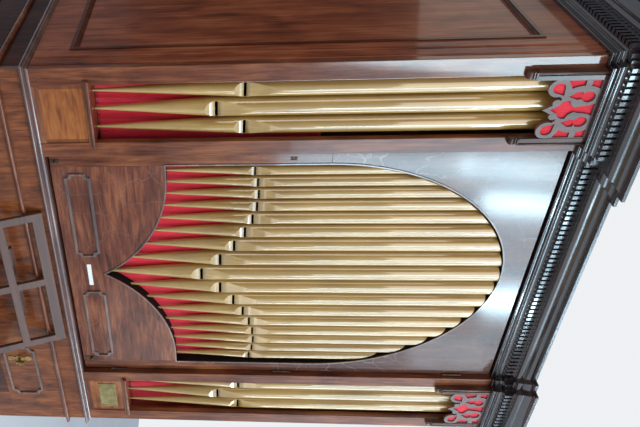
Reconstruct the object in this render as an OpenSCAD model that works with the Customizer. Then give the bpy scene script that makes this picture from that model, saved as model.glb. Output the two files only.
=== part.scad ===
// Chamber organ in a polished mahogany case: two towers of gilded pipes flank a door in whose
// arched opening stand seventeen more. Millimetres, +Z up. The plan is drawn with X across the
// case, Y into its depth and the front of the towers at Y = 0, and the whole organ is then
// moved so that the middle of its footprint lies on the origin.

/* [Case] */
// Width of the case at its corners, without the cornice
case_w = 1774; // [1600:2:2100]
// Depth of the case from the tower fronts to the back boards
case_d = 900; // [700:10:1200]
// Height of the nosing at the waist
waist_z = 1200; // [1150:5:1300]
// Height of the cove between the waist nosing and the upper case
cove_h = 18; // [12:1:26]
// Height of the underside of the cornice
cornice_z = 2914; // [2850:2:3100]
// Thickness of the case boards
board = 24; // [20:1:30]
// Height of the plinth
plinth_h = 110; // [80:5:150]
// Width of the corner stiles on the sides
side_stile = 128; // [90:2:160]
// Width of the stiles at the back of the sides
back_stile = 104; // [80:2:140]
// Height of the rails above and below the upper side panels
side_rail = 125; // [90:5:160]

/* [Towers] */
// Width of each tower, from the case corner to its inner edge
tower_w = 327; // [300:1:380]
// Width of the outer stile of a tower
outer_stile = 61; // [50:1:80]
// Width of the inner stile of a tower
inner_stile = 54; // [45:1:70]
// Height of the shelf under the tower pipes, above the waist
shelf_up = 200; // [170:5:240]
// Height of the rail under the lower tower panel
tower_rail = 35; // [25:1:60]
// How far the brackets and the cornice break forward over a tower
break_out = 27; // [15:1:40]

/* [Door] */
// How far the door stands behind the tower fronts
door_back = 23; // [15:1:35]
// Thickness of the door
door_t = 40; // [34:1:48]
// Gap all round the door
door_gap = 6; // [5:0.5:8]
// Width of wood beside the opening in the door
jamb_w = 51; // [40:1:90]
// Height of wood above the opening
head_h = 83; // [60:1:120]
// Rise of the arch above its springing
arch_rise = 648; // [550:1:680]
// Height of the shoulders at the foot of the opening, above the waist
shoulder_up = 423; // [390:1:470]
// Depth of the point between the two scoops below the shoulders
cusp_drop = 255; // [180:1:280]
// Width of the flat shoulder at each side
shoulder_w = 53; // [30:1:80]

/* [Pipes] */
// Diameter of the middle pipe
pipe_d = 70; // [60:1:76]
// Ratio of each pipe's diameter to that of its inner neighbour
pipe_ratio = 0.938; // [0.92:0.001:0.95]
// Gap between neighbouring pipes
pipe_gap = 4; // [2:0.5:8]
// How far the axes of the door's pipes stand behind its face
pipe_in = 24; // [20:1:28]
// Height of the middle mouth above the point of the opening
mouth_up = 363; // [330:1:420]
// How much higher the highest mouths are
mouth_rise = 206; // [120:1:260]
// Ratio of a tower's outer pipes to its middle one
tower_ratio = 0.924; // [0.85:0.001:1]
// Gap between a tower's stiles and its outer pipes
tower_margin = 8; // [5:1:16]

/* [Cornice] */
// Height of the fascia and bed moulding under the dentils
bed_h = 34; // [28:1:44]
// Height of the dentil band
dentil_h = 26; // [20:1:34]
// Pitch of the dentils
dentil_pitch = 21; // [16:0.5:28]
// Height of the crown moulding above the dentils
crown_h = 48; // [40:1:64]
// Greatest projection of the cornice
crown_out = 125; // [100:1:140]

/* [Key desk] */
// Height of the natural keys
key_z = 752; // [700:1:800]
// Natural keys in the compass
naturals = 36; // [29:1:36]
// Pitch of the natural keys
key_pitch = 23.5; // [22:0.1:24]
// Length of the natural keys that shows
key_len = 146; // [130:1:155]
// How far the key bed stands out in front of the case
bed_out = 350; // [320:5:420]
// Height of the shelf that the music desk stands on
desk_shelf_z = 880; // [860:5:920]
// Width of the music desk
desk_w = 660; // [560:5:760]
// Lean of the music desk from the upright
desk_lean = 18.5; // [14:0.5:24]

/* [Hidden] */
half_w = case_w / 2;
tower_in = half_w - tower_w;
open_out = half_w - outer_stile;
open_in = tower_in + inner_stile;
open_mid = (open_out + open_in) / 2;
top_z = cornice_z + bed_h + dentil_h + crown_h;
bead_z = waist_z - 93;
lower_panel_z = [plinth_h + side_rail, bead_z - side_rail];
bracket_w = 26;
bracket_h = 190;
bracket_foot = 26;
bracket_out = open_out + 24;
bracket_in = open_in - 16;
fret_t = 6;
fret_w = bracket_out - bracket_in - 2 * bracket_w;
fret_mid = (bracket_out + bracket_in) / 2;
fret_back = 8 - break_out;
shelf_z = waist_z + shelf_up;
shelf_t = 16;
nose_r = 6;
cove_out = 12;
door_half = tower_in - door_gap;
door_face = door_back;
door_rear = door_back + door_t;
door_low = waist_z + cove_h + door_gap;
door_high = cornice_z - door_gap;
arch_a = door_half - jamb_w;
spring_z = door_high - head_h - arch_rise;
shoulder_z = waist_z + shoulder_up;
cusp_z = shoulder_z - cusp_drop;
scoop_run = arch_a - shoulder_w;
scoop_r = (pow(scoop_run, 2) + pow(cusp_drop, 2)) / (2 * cusp_drop);
arch_steps = 60;
edge_bead = 5;
edge_proud = 3;
pipe_y = door_face + pipe_in;
arch_gap = 6;
pipe_pairs = max([for (i = [0:20]) if (pipe_x(i) + pipe_dia(i) / 2 + arch_gap <= arch_a) i]);
tower_pipe_face = 12;
tower_pipe_d = (open_out - open_in - 2 * tower_margin - 2 * pipe_gap) / (1 + 2 * tower_ratio);
tower_side_d = tower_pipe_d * tower_ratio;
tip_r = 4;
foot_sink = 6;
toe_hole_r = tip_r + 1.6;
cloth_t = 1.5;
cloth_gap = 1.5;
rack_t = 20;
rack_z = waist_z + 900;
tower_cloth_y = tower_pipe_face + tower_pipe_d + cloth_gap;
partition_t = 15;
partition_y = tower_cloth_y + cloth_t + rack_t + 8;
soffit = 50;
crown_deep = 10;
top_t = 20;
knuckle_r = 4.5;
leaf_t = 2;
hinge_x = tower_in - 7;
hinge_y = door_face - knuckle_r - 0.5;
hinge_zs = [door_low + 150, (door_low + door_high) / 2, door_high - 150];
seat_gap = 0.3;
desk_t = 14;
desk_top_z = waist_z - 30;
bead_r = 8;
bead_out = 2 * bead_r;
lower_rail_z = waist_z - 340;
post_w = 176;
cheek = 28;
keys_half = naturals * key_pitch / 2;
cheek_in = keys_half + 3;
knee_half = cheek_in + cheek + 8;
bed_z = key_z - 62;
bed_t = 50;
shelf_board = 20;
front_y = -bed_out;
back_y = case_d;
mid_y = (front_y + back_y) / 2;
key_front = -bed_out + 18;
$fn = 64;

// Plan of the cornice, from the back of the left side round to the back of the right
plan_half = [[half_w, case_d], [half_w, 0], [bracket_out, 0], [bracket_out, -break_out],
             [bracket_in, -break_out], [bracket_in, 0], [tower_in, 0], [tower_in, door_back]];
cornice_plan = concat([for (p = plan_half) [-p[0], p[1]]],
                      [for (i = [len(plan_half) - 1:-1:0]) plan_half[i]]);
waist_plan = [[-half_w, case_d], [-half_w, 0], [half_w, 0], [half_w, case_d]];

// Side that the path turns to at one of its points: 1 outwards, -1 inwards, 0 at an end
function turn(plan, i) = (i == 0 || i == len(plan) - 1) ? 0
    : sign(cross(plan[i] - plan[i - 1], plan[i + 1] - plan[i]));

// One straight length of a moulding, cut at each end to the mitre of its corner
module run(plan, i, deep, reach, height) {
    a = plan[i];
    b = plan[i + 1];
    l = norm(b - a);
    sa = turn(plan, i);
    sb = turn(plan, i + 1);
    far = l + reach + deep;
    translate([a[0], a[1], 0])
        rotate([0, 0, atan2(b[1] - a[1], b[0] - a[0])])
            intersection() {
                translate([far, 0, 0])
                    rotate([0, 0, -90])
                        rotate([90, 0, 0])
                            linear_extrude(far + reach + deep)
                                children();
                linear_extrude(height)
                    polygon([[sa * deep, deep], [l - sb * deep, deep],
                             [l + sb * reach, -reach], [-sa * reach, -reach]]);
            }
}

// A moulding carried round a plan, one mitred length after another
module moulding(plan, z, deep, reach, height) {
    translate([0, 0, z])
        for (i = [0:len(plan) - 2])
            run(plan, i, deep, reach, height)
                children();
}

// A moulding mitred round the inside of a rectangle. Its profile runs inwards along X from the
// edge of the rectangle, and up along Y
module frame_moulding(w, h, reach, height) {
    for (k = [0:3]) {
        l = k % 2 == 0 ? w : h;
        out = k % 2 == 0 ? h : w;
        rotate(90 * k)
            translate([0, -out / 2, 0])
                intersection() {
                    translate([-l / 2, 0, 0])
                        rotate([90, 0, 90])
                            linear_extrude(l)
                                children();
                    linear_extrude(height)
                        polygon([[-l / 2, 0], [l / 2, 0],
                                 [l / 2 - reach, reach], [reach - l / 2, reach]]);
                }
    }
}

// Profile of the panel mouldings: a bead at the edge, then a hollow that dies on to the panel
module ogee(reach, height) {
    difference() {
        square([reach, height]);
        translate([reach, height])
            circle(min(reach, height) - 3);
    }
}

// A board given by its two opposite corners
module board_between(a, b) {
    translate(a)
        cube(b - a);
}

// Its children, and their mirror image on the other side of the organ
module both_sides() {
    children();
    mirror([1, 0, 0])
        children();
}

module plinth() {
    color("saddlebrown")
        difference() {
            union() {
                board_between([-half_w, 0, 0], [half_w, case_d, plinth_h]);
                moulding(waist_plan, 0, board, 22, plinth_h)
                    polygon([[-board, 0], [18, 0], [18, plinth_h - 26],
                             [12, plinth_h - 16], [4, plinth_h - 6], [0, plinth_h], [-board, plinth_h]]);
            }
            board_between([board - half_w, board, -1], [half_w - board, case_d - board, plinth_h + 1]);
        }
}

module corner_posts() {
    color("saddlebrown")
        both_sides()
            board_between([half_w - post_w, 0, plinth_h], [half_w, board, lower_rail_z]);
}

module side_frame_member(y0, y1, z0, z1) {
    both_sides()
        board_between([half_w - board, y0, z0], [half_w, y1, z1]);
}

module lower_side_frames() {
    color("saddlebrown") {
        side_frame_member(board, board + back_stile, plinth_h, waist_z - 12);
        side_frame_member(case_d - board - back_stile, case_d - board, plinth_h, waist_z - 12);
        side_frame_member(board + back_stile, case_d - board - back_stile, plinth_h, lower_panel_z[0]);
        side_frame_member(board + back_stile, case_d - board - back_stile, lower_panel_z[1], waist_z - 12);
    }
}

// A sunk panel in the side of the case, with a moulding mitred round it
module side_panel(y0, y1, z0, z1) {
    sunk = 10;
    both_sides() {
        board_between([half_w - board + 2, y0, z0], [half_w - sunk, y1, z1]);
        translate([half_w - sunk, (y0 + y1) / 2, (z0 + z1) / 2])
            rotate([90, 0, 90])
                frame_moulding(y1 - y0, z1 - z0, 24, sunk + 4)
                    ogee(24, sunk + 4);
    }
}

module lower_side_panels() {
    color("sienna")
        side_panel(board + back_stile, case_d - board - back_stile, lower_panel_z[0], lower_panel_z[1]);
}

module lower_back() {
    color("sienna")
        board_between([-half_w, case_d - board, plinth_h], [half_w, case_d, waist_z - 12]);
}

module lower_front_rail() {
    color("saddlebrown")
        board_between([-half_w, 0, lower_rail_z], [half_w, board, waist_z - 12]);
}

// A board with a sunk panel, and a moulding mitred round the inside of the sinking
module panelled(x0, x1, z0, z1, rail) {
    sunk = 10;
    w = x1 - x0 - 2 * rail;
    h = z1 - z0 - 2 * rail;
    difference() {
        board_between([x0, 0, z0], [x1, board, z1]);
        board_between([x0 + rail, -1, z0 + rail], [x1 - rail, sunk, z1 - rail]);
    }
    translate([(x0 + x1) / 2, sunk, (z0 + z1) / 2])
        rotate([90, 0, 0])
            frame_moulding(w, h, 18, sunk)
                ogee(18, sunk);
}

module lower_front_doors() {
    color("sienna")
        both_sides()
            panelled(knee_half, half_w - post_w, plinth_h, lower_rail_z, 50);
}

// Three panelled boards side by side behind the player's knees
module knee_panel() {
    third = 2 * knee_half / 3;
    color("sienna")
        for (k = [0:2])
            panelled(k * third - knee_half, (k + 1) * third - knee_half, plinth_h, lower_rail_z, 46);
}

// Flat outline with a quarter circle scooped out of each corner
module scooped(w, h, r) {
    difference() {
        square([w, h], center = true);
        for (x = [-w / 2, w / 2])
            for (y = [-h / 2, h / 2])
                translate([x, y])
                    circle(r);
    }
}

// A raised bead that follows that outline, with a narrower round on its back
module bead_frame(w, h, r, bead, proud) {
    for (step = [[0, proud - 2], [2, proud]])
        linear_extrude(step[1])
            difference() {
                scooped(w - 2 * step[0], h - 2 * step[0], r);
                scooped(w - 2 * (bead - step[0]), h - 2 * (bead - step[0]), r);
            }
}

// Bead frames on the front rail, and the two battens that the music desk hides
module lower_beads() {
    frame_w = 310;
    frame_h = 140;
    batten_w = 130;
    batten_h = 12;
    color("saddlebrown")
        both_sides() {
            translate([half_w - post_w - frame_w / 2, 0, lower_rail_z + frame_h / 2 + 22])
                rotate([90, 0, 0])
                    bead_frame(frame_w, frame_h, 22, 10, 7);
            board_between([cheek, -batten_h, lower_rail_z + 158],
                          [cheek + batten_w, 0, lower_rail_z + 158 + batten_h]);
        }
}

module frieze_bead() {
    color("sienna")
        moulding(waist_plan, bead_z - bead_r, 0, bead_out, 2 * bead_r)
            union() {
                square([bead_r, 2 * bead_r]);
                translate([bead_r, bead_r])
                    circle(bead_r);
            }
}

// The nosing at the waist, the cove that rises from it to the upper case, and the sill that
// closes the cove under the door
module waist_moulding() {
    color("sienna") {
        moulding(waist_plan, waist_z - 12, board, 22, 12 + cove_h)
            difference() {
                union() {
                    translate([-board, 0])
                        square([board + cove_out, 12]);
                    translate([cove_out, 6])
                        circle(6);
                    translate([0, 12])
                        square([cove_out, cove_h]);
                }
                translate([cove_out + 2, 12 + cove_h])
                    circle(cove_h - 3);
            }
        board_between([-tower_in, 0, waist_z], [tower_in, door_rear + 4, waist_z + cove_h]);
    }
}

module floor_board() {
    color("sienna")
        board_between([board - half_w, board, waist_z - 12], [half_w - board, case_d, waist_z]);
}

module key_bed() {
    color("saddlebrown") {
        board_between([-knee_half, front_y, bed_z - bed_t], [knee_half, 0, bed_z]);
        board_between([-cheek_in, front_y, bed_z], [cheek_in, key_front - 1, key_z - 24]);
    }
}

// The cheeks sweep down in an S at the front: a hollow above and a round below it
module key_cheeks() {
    h = desk_shelf_z - shelf_board - bed_z;
    r = h * 0.3;
    color("saddlebrown")
        both_sides()
            translate([cheek_in, 0, bed_z])
                rotate([90, 0, 90])
                    linear_extrude(cheek)
                        difference() {
                            union() {
                                translate([front_y + 2 * r, 0])
                                    square([bed_out - 2 * r, h]);
                                translate([front_y, 0])
                                    square([2 * r, h - 2 * r]);
                                translate([front_y + r, h - 2 * r])
                                    circle(r);
                            }
                            translate([front_y + 2 * r, h])
                                circle(r * 0.9);
                        }
}

// Whether a sharp key stands between this natural and the next one up
function has_sharp(i) = i >= 0 && i < naturals - 1 && i % 7 != 2 && i % 7 != 6;

// The naturals are notched at the back, where the sharps pass between them
module natural_keys() {
    sharp_half = 5.5;
    color("ivory")
        for (i = [0:naturals - 1])
            translate([i * key_pitch - keys_half, key_front, key_z - 22])
                linear_extrude(22)
                    difference() {
                        translate([0.5, 0])
                            square([key_pitch - 1, key_len]);
                        for (side = [0, 1])
                            if (has_sharp(i - 1 + side))
                                translate([side * key_pitch - sharp_half, 50 - 1])
                                    square([2 * sharp_half, key_len]);
                    }
}

// The sharps stand on the key frame between the naturals, their fronts sloped
module sharp_keys() {
    w = 10;
    color("black")
        for (i = [0:naturals - 2])
            if (has_sharp(i))
                translate([(i + 1) * key_pitch - keys_half - w / 2, key_front, key_z - 22])
                    rotate([90, 0, 90])
                        linear_extrude(w)
                            polygon([[50, 0], [key_len, 0], [key_len, 33], [56, 33], [50, 26]]);
}

module nameboard() {
    color("saddlebrown") {
        board_between([-cheek_in, key_front + key_len + 1, bed_z],
                      [cheek_in, key_front + key_len + 19, desk_shelf_z - shelf_board]);
        board_between([-cheek_in, key_front + 10, bed_z],
                      [cheek_in, key_front + key_len, key_z - 22]);
    }
}

// Turned knobs that draw the stops, four to each side of the nameboard
module stop_knobs() {
    knob_r = 11;
    knob_pitch = 34;
    color("black")
        both_sides()
            for (k = [0:3])
                translate([cheek_in - 26 - k * knob_pitch, key_front + key_len + 1,
                           (key_z + desk_shelf_z - shelf_board) / 2])
                    rotate([90, 0, 0])
                        rotate_extrude()
                            polygon([[0, 0], [5, 0], [5, 18], [knob_r - 3, 20], [knob_r, 23], [knob_r, 27],
                                     [knob_r - 3, 31], [0, 33]]);
}

module desk_shelf() {
    color("saddlebrown")
        board_between([-cheek_in - cheek, key_front + key_len - 20, desk_shelf_z - shelf_board],
                      [cheek_in + cheek, 0, desk_shelf_z]);
}

// The desk stands on its shelf, cut flat where it meets it, and leans back on the frieze
module music_desk() {
    rail = 40;
    mid_rail = 30;
    stile = 32;
    slope = (desk_top_z - desk_shelf_z) / cos(desk_lean);
    window = (slope - rail - 2 * mid_rail) / 2;
    color("brown")
        difference() {
            translate([0, -seat_gap - desk_t * cos(desk_lean), desk_top_z + desk_t * sin(desk_lean)])
                rotate([-desk_lean, 0, 0]) {
                    for (x = [-desk_w / 2, -stile / 2, desk_w / 2 - stile])
                        board_between([x, 0, -slope - 8], [x + stile, desk_t, 0]);
                    board_between([-desk_w / 2, 0, -rail], [desk_w / 2, desk_t, 0]);
                    board_between([-desk_w / 2, 0, -rail - window - mid_rail],
                                  [desk_w / 2, desk_t, -rail - window]);
                    board_between([-desk_w / 2, 0, -slope - 8],
                                  [desk_w / 2, desk_t, mid_rail - slope]);
                }
            board_between([-desk_w, -bed_out, 0], [desk_w, bed_out, desk_shelf_z]);
        }
}

// The front stile of each side has two upright beads
module upper_side_stiles() {
    color("saddlebrown") {
        side_frame_member(board, side_stile, waist_z, cornice_z);
        side_frame_member(case_d - board - back_stile, case_d - board, waist_z, cornice_z);
        both_sides()
            for (y = [board + 5, board + 55])
                translate([half_w, y, waist_z + cove_h])
                    cylinder(h = cornice_z - waist_z - cove_h, r = 3.5);
    }
}

module upper_side_rails() {
    color("saddlebrown") {
        side_frame_member(side_stile, case_d - board - back_stile, waist_z, waist_z + side_rail);
        side_frame_member(side_stile, case_d - board - back_stile, cornice_z - side_rail, cornice_z);
    }
}

module upper_side_panels() {
    color("sienna")
        side_panel(side_stile, case_d - board - back_stile, waist_z + side_rail, cornice_z - side_rail);
}

module upper_back() {
    color("sienna")
        union() {
            board_between([-half_w, case_d - board, waist_z], [half_w, case_d, cornice_z]);
            board_between([soffit - half_w, case_d - board, cornice_z],
                          [half_w - soffit, case_d, top_z - top_t]);
        }
}

// Outward normal of one length of a plan, and the plan drawn in by a distance
function outward(plan, i) = let (t = (plan[i + 1] - plan[i]) / norm(plan[i + 1] - plan[i])) [t[1], -t[0]];
function drawn_in(plan, by) = [for (i = [0:len(plan) - 1])
    plan[i] - by * ((i == 0 ? [0, 0] : outward(plan, i - 1))
                    + (i == len(plan) - 1 ? [0, 0] : outward(plan, i)))];

module top_board() {
    color("sienna")
        translate([0, 0, top_z - top_t])
            linear_extrude(top_t)
                polygon(drawn_in(cornice_plan, crown_deep));
}

module tower_stiles() {
    color("saddlebrown")
        both_sides() {
            board_between([open_out, 0, waist_z], [half_w, board, cornice_z]);
            board_between([tower_in, 0, waist_z], [open_in, board, cornice_z]);
            board_between([tower_in, board - 1, waist_z], [tower_in + partition_t, partition_y, cornice_z]);
        }
}

module tower_rails() {
    color("saddlebrown")
        both_sides()
            board_between([open_in, 0, waist_z], [open_out, board, waist_z + tower_rail]);
}

module tower_panels() {
    color("peru")
        both_sides()
            board_between([open_in, 4, waist_z + tower_rail], [open_out, board, shelf_z - shelf_t]);
}

// The nosing under the tower pipes, with a cove below it
module tower_shelves() {
    color("sienna")
        both_sides()
            translate([open_in - 14, 0, shelf_z])
                rotate([90, 0, 90])
                    linear_extrude(open_out - open_in + 30)
                        difference() {
                            union() {
                                translate([-8, -2 * nose_r])
                                    square([8, 2 * nose_r]);
                                translate([-8, -nose_r])
                                    circle(nose_r);
                                translate([-8, -2 * nose_r - 10])
                                    square([8, 10]);
                            }
                            translate([-9, -2 * nose_r - 9])
                                circle(7);
                        }
}

module toe_boards() {
    color("sienna")
        both_sides()
            board_between([open_in, 0, shelf_z - shelf_t],
                          [open_out, tower_cloth_y + cloth_t, shelf_z]);
}

// Rails that stiffen the cloths of the towers
module pipe_rack() {
    color("sienna")
        both_sides()
            board_between([tower_in + partition_t, tower_cloth_y + cloth_t, rack_z],
                          [half_w - board, tower_cloth_y + cloth_t + rack_t, rack_z + 2 * rack_t]);
}

// An organ pipe turned on its axis: a tapering foot, then a plain body. The mouth is a slot
// between two flats, a short one pressed into the foot and a tall leaf pressed into the body
module pipe(d, foot_z, mouth_z, pipe_top) {
    slot_h = d * 0.16;
    leaf_h = d * 1.9;
    lip_h = d * 0.55;
    press = d * 0.19;
    difference() {
        rotate_extrude()
            polygon([[0, foot_z], [tip_r, foot_z], [d / 2, mouth_z], [d / 2, pipe_top], [0, pipe_top]]);
        translate([-d * 0.42, -d / 2 - 1, mouth_z])
            cube([d * 0.84, press + 4, slot_h]);
        translate([0, press - d / 2, mouth_z + slot_h])
            rotate([atan2(press, leaf_h), 0, 0])
                translate([-d / 2, -d, 0])
                    cube([d, d, leaf_h * 1.2]);
        translate([0, press - d / 2, mouth_z])
            rotate([-atan2(press, lip_h) - atan2(d / 2, mouth_z - foot_z), 0, 0])
                translate([-d / 2, -d, -lip_h * 1.4])
                    cube([d, d, lip_h * 1.4]);
    }
}

// Diameter of the pipe so many places from the middle, and its distance from the middle
function pipe_dia(i) = pipe_d * pow(pipe_ratio, i);
function pipe_x(i) = i == 0 ? 0 : pipe_x(i - 1) + (pipe_dia(i - 1) + pipe_dia(i)) / 2 + pipe_gap;

// Height of the scooped edge at a distance from the middle
function scoop_z(x) = shoulder_z - scoop_r + sqrt(pow(scoop_r, 2) - pow(max(scoop_run - x, 0), 2));

// Height of a pipe's foot, in a toe hole in the scooped edge
function foot_z(i) = scoop_z(pipe_x(i)) - foot_sink;

// The mouths rise from the middle pipe in a curve, and the outermost fall again a little
function mouth_z(i) = cusp_z + mouth_up
    + mouth_rise * pow(sin(90 * pipe_x(i) / (arch_a - shoulder_w - 77)), 0.88);

// The pipes stand in the door and bulge out of its opening. Their tops follow the arch, with a
// gap, and their backs are cut flat where they lie against the cloth and the batten
module centre_pipes() {
    color("goldenrod")
        difference() {
            for (s = [-1, 1])
                for (i = [(s < 0 ? 1 : 0):pipe_pairs])
                    translate([s * pipe_x(i), pipe_y, 0])
                        pipe(pipe_dia(i), foot_z(i), mouth_z(i), spring_z + arch_rise);
            board_between([-door_half, door_rear, cusp_z - board],
                          [door_half, door_rear + pipe_d, cornice_z]);
            translate([0, door_rear + 1, 0])
                rotate([90, 0, 0])
                    linear_extrude(door_rear + pipe_d)
                        difference() {
                            translate([-door_half, spring_z])
                                square([2 * door_half, door_high - spring_z]);
                            arch_outline(-arch_gap);
                        }
        }
}

module tower_pipes() {
    pitch = (tower_pipe_d + tower_side_d) / 2 + pipe_gap;
    mouths = [shelf_z + 390, shelf_z + 480];
    color("goldenrod")
        both_sides()
            for (k = [-1:1])
                translate([open_mid + k * pitch,
                           tower_pipe_face + (k == 0 ? tower_pipe_d : tower_side_d) / 2, 0])
                    pipe(k == 0 ? tower_pipe_d : tower_side_d, shelf_z, mouths[abs(k)], cornice_z - 30);
}

// A cloth behind each tower's pipes and a small one behind its fret
module tower_cloths() {
    color("crimson")
        both_sides() {
            board_between([tower_in + partition_t + 1, tower_cloth_y, shelf_z],
                          [half_w - board - 1, tower_cloth_y + cloth_t, rack_z + 2 * rack_t]);
            translate([fret_mid, fret_back + cloth_t, cornice_z])
                rotate([90, 0, 0])
                    linear_extrude(cloth_t)
                        fret_blank();
        }
}

// The door's cloth is tacked to its back, from below the point of the opening up to the batten
module centre_cloth() {
    color("crimson")
        board_between([-arch_a - 20, door_rear, cusp_z - 40], [arch_a + 20, door_rear + cloth_t, rack_z]);
}

// Each fret hangs between its brackets, just behind their faces
module frets() {
    color("dimgray")
        both_sides()
            translate([fret_mid, fret_back, cornice_z])
                rotate([90, 0, 0])
                    linear_extrude(fret_t)
                        difference() {
                            fret_blank();
                            fret_piercings();
                        }
}

// A circle drawn out to a point
module drop(c, r, tip) {
    u = (tip - c) / norm(tip - c);
    v = [-u[1], u[0]];
    a = acos(r / norm(tip - c));
    translate(c)
        circle(r);
    polygon([tip, c + r * (cos(a) * u + sin(a) * v), c, c + r * (cos(a) * u - sin(a) * v)]);
}

// The ornament is drawn for a fret 200 wide, and scaled to the width that there is. X runs out
// from its middle and Y up to the cornice
module ornament() {
    scale(fret_w / 200)
        for (s = [0, 1])
            mirror([s, 0])
                children();
}

cusp_leaf = [22.5, -114];
curl_ball = [20, -58];
lobe = [72, -121];

// Outline of a fret: two lobes, and between them a pointed drop with a leaf on each side
module fret_blank() {
    ornament() {
        polygon([[0, 0], [100, 0], [100, -122], [72, -122], [46, -112], [37, -104], [0, -110]]);
        intersection() {
            translate(lobe)
                circle(29);
            translate([0, -160])
                square([100, 160]);
        }
        translate(cusp_leaf)
            circle(12);
        polygon([[0, -100], [22, -103], [12, -130], [6, -139], [0, -151]]);
    }
}

module fret_piercings() {
    ornament() {
        corner_piercings();
        scroll_piercing();
        drop(lobe + [0, 1], 17, [48, -101]);
        middle_piercing();
    }
}

// Two piercings beside the stile, cut off inwards by the back of the scroll
module corner_piercings() {
    difference() {
        union() {
            polygon([[97, -6], [60, -6], [60, -33], [97, -33]]);
            polygon([[97, -50], [60, -50], [60, -84], [72, -84], [97, -99]]);
        }
        translate([2, -46])
            circle(78);
    }
}

// The eye of the scroll: a round above, a drop below, and the curl that divides them
module scroll_piercing() {
    difference() {
        union() {
            translate([42, -30])
                circle(17.7);
            drop([47, -60], 13, [44, -86]);
            polygon([[34, -38], [59, -36], [59, -58], [36, -60]]);
        }
        translate(curl_ball + [2, 0])
            circle(12);
        polygon([[64, -40], [51, -47], [64, -52]]);
    }
}

// The middle: wide at the top, waisted at the curls, wide again and then drawn to a point
module middle_piercing() {
    difference() {
        polygon([[0, -6], [21, -6], [15, -20], [12, -36], [10, -58], [16, -72], [31, -79], [31, -91],
                 [23, -102], [10, -112], [0, -127]]);
        translate(curl_ball)
            circle(11.5);
        translate(cusp_leaf)
            circle(12);
    }
}

// A bracket has a bead along the edge away from the fret and a moulded foot
module bracket(x, bead_side) {
    bead = 4.5;
    flat = bracket_w - 2 * bead - 3;
    translate([x, 0, cornice_z]) {
        board_between([0, 4 - break_out, -bracket_h], [bracket_w, 0, 0]);
        board_between([bead_side > 0 ? 0 : bracket_w - flat, -break_out, -bracket_h],
                      [bead_side > 0 ? flat : bracket_w, 4 - break_out, 0]);
        translate([bead_side > 0 ? bracket_w - bead : bead, bead - break_out, -bracket_h])
            cylinder(h = bracket_h, r = bead);
        translate([2, 0, -bracket_h])
            rotate([90, 0, 90])
                linear_extrude(bracket_w - 4)
                    bracket_foot_profile();
    }
}

module bracket_foot_profile() {
    roll = 8;
    translate([-break_out + 1, -4])
        square([break_out - 1, 4]);
    translate([-break_out + 6, -9])
        square([break_out - 6, 5]);
    translate([-break_out + 5 + roll, -9 - roll])
        circle(roll);
    translate([-break_out + 5 + roll, -bracket_foot])
        square([break_out - 5 - roll, bracket_foot - 9]);
}

module fret_brackets() {
    color("dimgray")
        both_sides() {
            bracket(bracket_out - bracket_w, 1);
            bracket(bracket_in, -1);
        }
}

module bed_moulding() {
    color("saddlebrown")
        moulding(cornice_plan, cornice_z, soffit, 40, bed_h)
            difference() {
                union() {
                    polygon([[-soffit, 0], [11, 0], [11, 5], [14, 5], [14, 12], [19, 12], [19, 17],
                             [22, 17], [32, 30], [32, bed_h], [-soffit, bed_h]]);
                    translate([11, 2.5])
                        circle(2.5);
                    translate([19, 14.5])
                        circle(2.5);
                }
                translate([32, 21])
                    circle(9);
            }
}

// One length of dentils, cut as a comb from a strip
module dentil_run(l) {
    n = max(1, floor(l / dentil_pitch));
    step = l / n;
    linear_extrude(dentil_h)
        polygon(concat([[0, 10], [0, -32]],
                       [for (i = [0:n - 1]) each [[i * step + step * 0.2, -32], [i * step + step * 0.2, -44],
                                                  [i * step + step * 0.8, -44], [i * step + step * 0.8, -32]]],
                       [[l, -32], [l, 10]]));
}

module dentil_band() {
    color("gray")
        translate([0, 0, cornice_z + bed_h]) {
            moulding(cornice_plan, 0, 10, 40, dentil_h)
                translate([-10, 0])
                    square([42, dentil_h]);
            for (i = [0:len(cornice_plan) - 2]) {
                a = cornice_plan[i];
                b = cornice_plan[i + 1];
                l = norm(b - a);
                sa = turn(cornice_plan, i) * 32;
                sb = turn(cornice_plan, i + 1) * 32;
                translate([a[0], a[1], 0])
                    rotate([0, 0, atan2(b[1] - a[1], b[0] - a[0])])
                        translate([-sa, 0, 0])
                            dentil_run(l + sa + sb);
            }
        }
}

module crown_moulding() {
    lip = 10;
    color("saddlebrown")
        moulding(cornice_plan, cornice_z + bed_h + dentil_h, crown_deep, crown_out + 5, crown_h)
            difference() {
                union() {
                    polygon([[-crown_deep, 0], [50, 0], [50, 4], [62, 4], [84, 22],
                             [crown_out - 8, crown_h - lip - 2], [crown_out - 4, crown_h - lip - 2],
                             [crown_out - 4, crown_h - lip], [crown_out, crown_h - lip],
                             [crown_out, crown_h], [-crown_deep, crown_h]]);
                    translate([66, 20])
                        circle(16);
                }
                translate([crown_out - 10, 11])
                    circle(25);
            }
}

// The arch of the opening, down to its springing, made wider all round by grow
module arch_outline(grow) {
    polygon([for (k = [0:arch_steps])
        [-(arch_a + grow) * cos(180 * k / arch_steps),
         spring_z - 1 + (arch_rise + 1 + grow) * sin(180 * k / arch_steps)]]);
}

// The opening of the door: the arch, the space between the jambs and two scoops that meet in a
// point
module door_opening(grow) {
    arch_outline(grow);
    translate([-arch_a - grow, shoulder_z - grow])
        square([2 * (arch_a + grow), spring_z - shoulder_z + grow]);
    difference() {
        translate([-scoop_run, cusp_z - 3 * grow])
            square([2 * scoop_run, cusp_drop + 3 * grow]);
        for (s = [-1, 1])
            translate([s * scoop_run, shoulder_z - scoop_r])
                circle(scoop_r - grow, $fn = 256);
    }
}

// A flat outline stood upright in the door, from its back to its face
module in_door() {
    translate([0, door_rear, 0])
        rotate([90, 0, 0])
            linear_extrude(door_t)
                children();
}

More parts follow.
